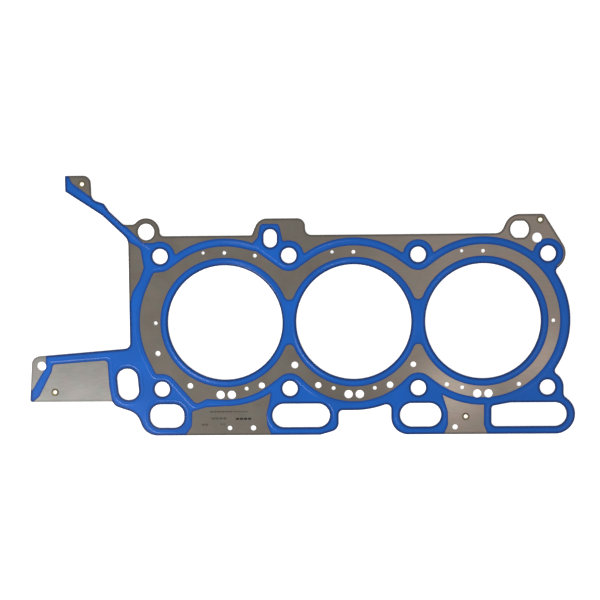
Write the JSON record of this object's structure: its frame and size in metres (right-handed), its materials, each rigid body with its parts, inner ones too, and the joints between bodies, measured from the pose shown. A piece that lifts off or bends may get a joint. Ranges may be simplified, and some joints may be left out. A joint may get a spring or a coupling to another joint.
{
  "type": "cylinder head gasket",
  "caption": "Multi-layer steel cylinder head gasket for one bank of a vee engine: flat riveted sheets with bores, bolt holes, slots and embossed beads under a blue elastomer coating.",
  "frame": {"origin": "on the middle bore's axis, at the lowest plane of the gasket, which is the underside of the eyelets; it is also the centre of both bolt rectangles", "axes": "+X along the row of bores, away from the timing cover arm and the flap; +Y across the bank, towards the edge with the three ears; +Z square to the sheets, towards the cylinder head"},
  "size_m": [0.4508, 0.2155, 0.0016],
  "materials": {
    "bare_steel": "rolled stainless spring steel, bare and slightly warm grey",
    "carrier_steel": "plain rolled steel",
    "stopper_steel": "bright stainless shim",
    "blue_coating": "screen-printed blue fluoroelastomer coating, semi-gloss",
    "eyelet_brass": "rolled brass eyelet"
  },
  "bodies": {
    "root": {"top_sheet": "bare_steel", "carrier_sheet": "carrier_steel", "low_sheet": "bare_steel", "stopper_ring_1": "stopper_steel", "stopper_ring_2": "stopper_steel", "stopper_ring_3": "stopper_steel", "top_perimeter_coat": "blue_coating", "top_bore_coat": "blue_coating", "low_perimeter_coat": "blue_coating", "low_bore_coat": "blue_coating", "eyelet_arm": "eyelet_brass", "eyelet_ear": "eyelet_brass", "eyelet_flap": "eyelet_brass", "eyelet_edge": "eyelet_brass"}
  },
  "joints": []
}
